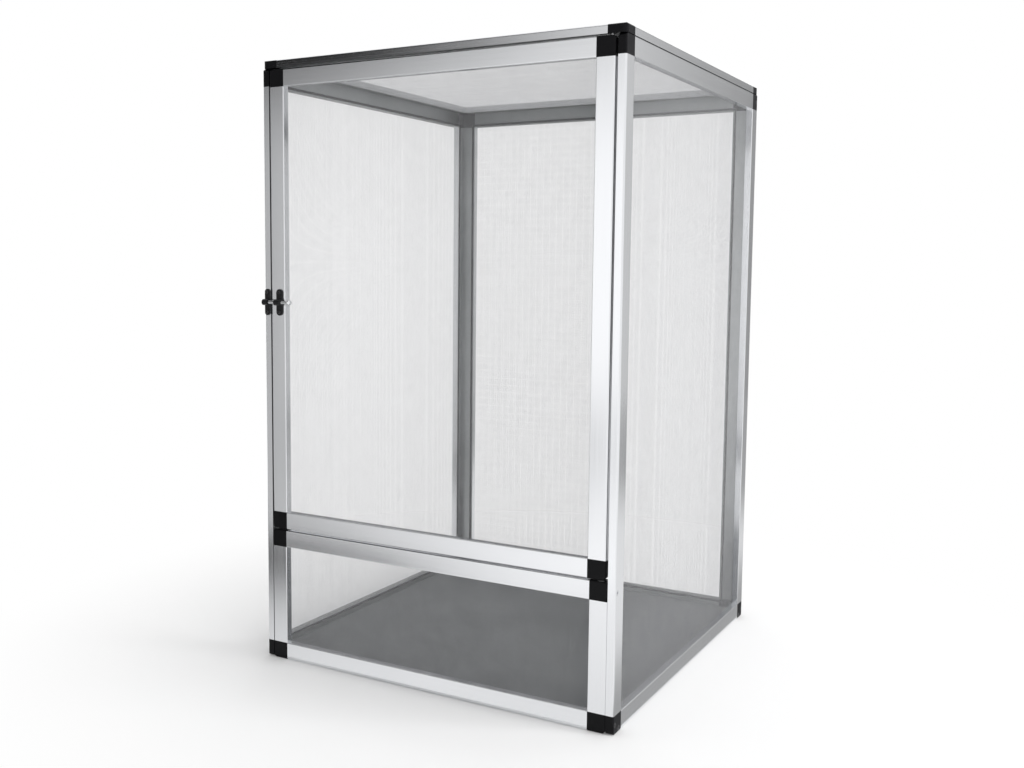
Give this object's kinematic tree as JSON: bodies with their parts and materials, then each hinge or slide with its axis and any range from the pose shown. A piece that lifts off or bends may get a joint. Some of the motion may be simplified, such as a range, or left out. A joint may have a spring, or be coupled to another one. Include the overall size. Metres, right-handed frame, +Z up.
{
  "type": "mesh reptile cage",
  "caption": "Tall box cage of aluminium screen frames with black corner pieces, wire mesh walls and lid, a solid floor, a pin-hung front door with a slide bolt, and a fixed lower front panel.",
  "frame": {"origin": "middle of the footprint, on the ground", "axes": "+Z up, the door and the lower front panel face -Y, the door's hinge is on the +X side"},
  "size_m": [0.51, 0.5184, 0.8],
  "materials": {
    "extrusion": "satin anodised extrusion",
    "corner_plastic": "moulded, fine texture",
    "wire_mesh": "plain woven wire",
    "bead_rubber": "ribbed bead",
    "floor_board": "smooth sheet",
    "pin_steel": "turned",
    "washer_nylon": "black nylon",
    "latch_steel": "black powder coat",
    "bolt_chrome": "bright plated",
    "black_screw": "blackened",
    "zinc_screw": "bright zinc plated"
  },
  "bodies": {
    "cage": {"lid_front_rail": "extrusion", "lid_back_rail": "extrusion", "lid_left_rail": "extrusion", "lid_right_rail": "extrusion", "lid_corners": "corner_plastic", "lid_mesh": "wire_mesh", "lid_bead": "bead_rubber", "left_front_stile": "extrusion", "left_back_stile": "extrusion", "left_top_rail": "extrusion", "left_bottom_rail": "extrusion", "left_corners": "corner_plastic", "left_mesh": "wire_mesh", "left_bead": "bead_rubber", "right_front_stile": "extrusion", "right_back_stile": "extrusion", "right_top_rail": "extrusion", "right_bottom_rail": "extrusion", "right_corners": "corner_plastic", "right_mesh": "wire_mesh", "right_bead": "bead_rubber", "back_left_stile": "extrusion", "back_right_stile": "extrusion", "back_top_rail": "extrusion", "back_bottom_rail": "extrusion", "back_corners": "corner_plastic", "back_mesh": "wire_mesh", "back_bead": "bead_rubber", "lower_left_stile": "extrusion", "lower_right_stile": "extrusion", "lower_top_rail": "extrusion", "lower_bottom_rail": "extrusion", "lower_corners": "corner_plastic", "lower_mesh": "wire_mesh", "lower_bead": "bead_rubber", "base_front_rail": "extrusion", "base_back_rail": "extrusion", "base_left_rail": "extrusion", "base_right_rail": "extrusion", "base_corners": "corner_plastic", "floor_board": "floor_board", "upper_hinge_pin": "pin_steel", "lower_hinge_pin": "pin_steel", "hinge_washer": "washer_nylon", "latch_keeper": "latch_steel", "keeper_screws": "black_screw", "frame_screws": "black_screw", "stile_screws": "zinc_screw"},
    "door": {"door_latch_stile": "extrusion", "door_hinge_stile": "extrusion", "door_top_rail": "extrusion", "door_bottom_rail": "extrusion", "door_corners": "corner_plastic", "door_mesh": "wire_mesh", "door_bead": "bead_rubber", "latch_guide": "latch_steel", "guide_screws": "black_screw"},
    "bolt": {"latch_bolt": "bolt_chrome"}
  },
  "joints": [
    {"name": "door_hinge", "type": "hinge", "parent": "cage", "child": "door", "pos_m": [0.236, -0.25, 0.4845], "axis": [0, 0, 1], "range_deg": [0, 110]},
    {"name": "bolt_slide", "type": "slide", "parent": "door", "child": "bolt", "axis": [-1, 0, 0], "range_m": [0, 0.009]}
  ]
}
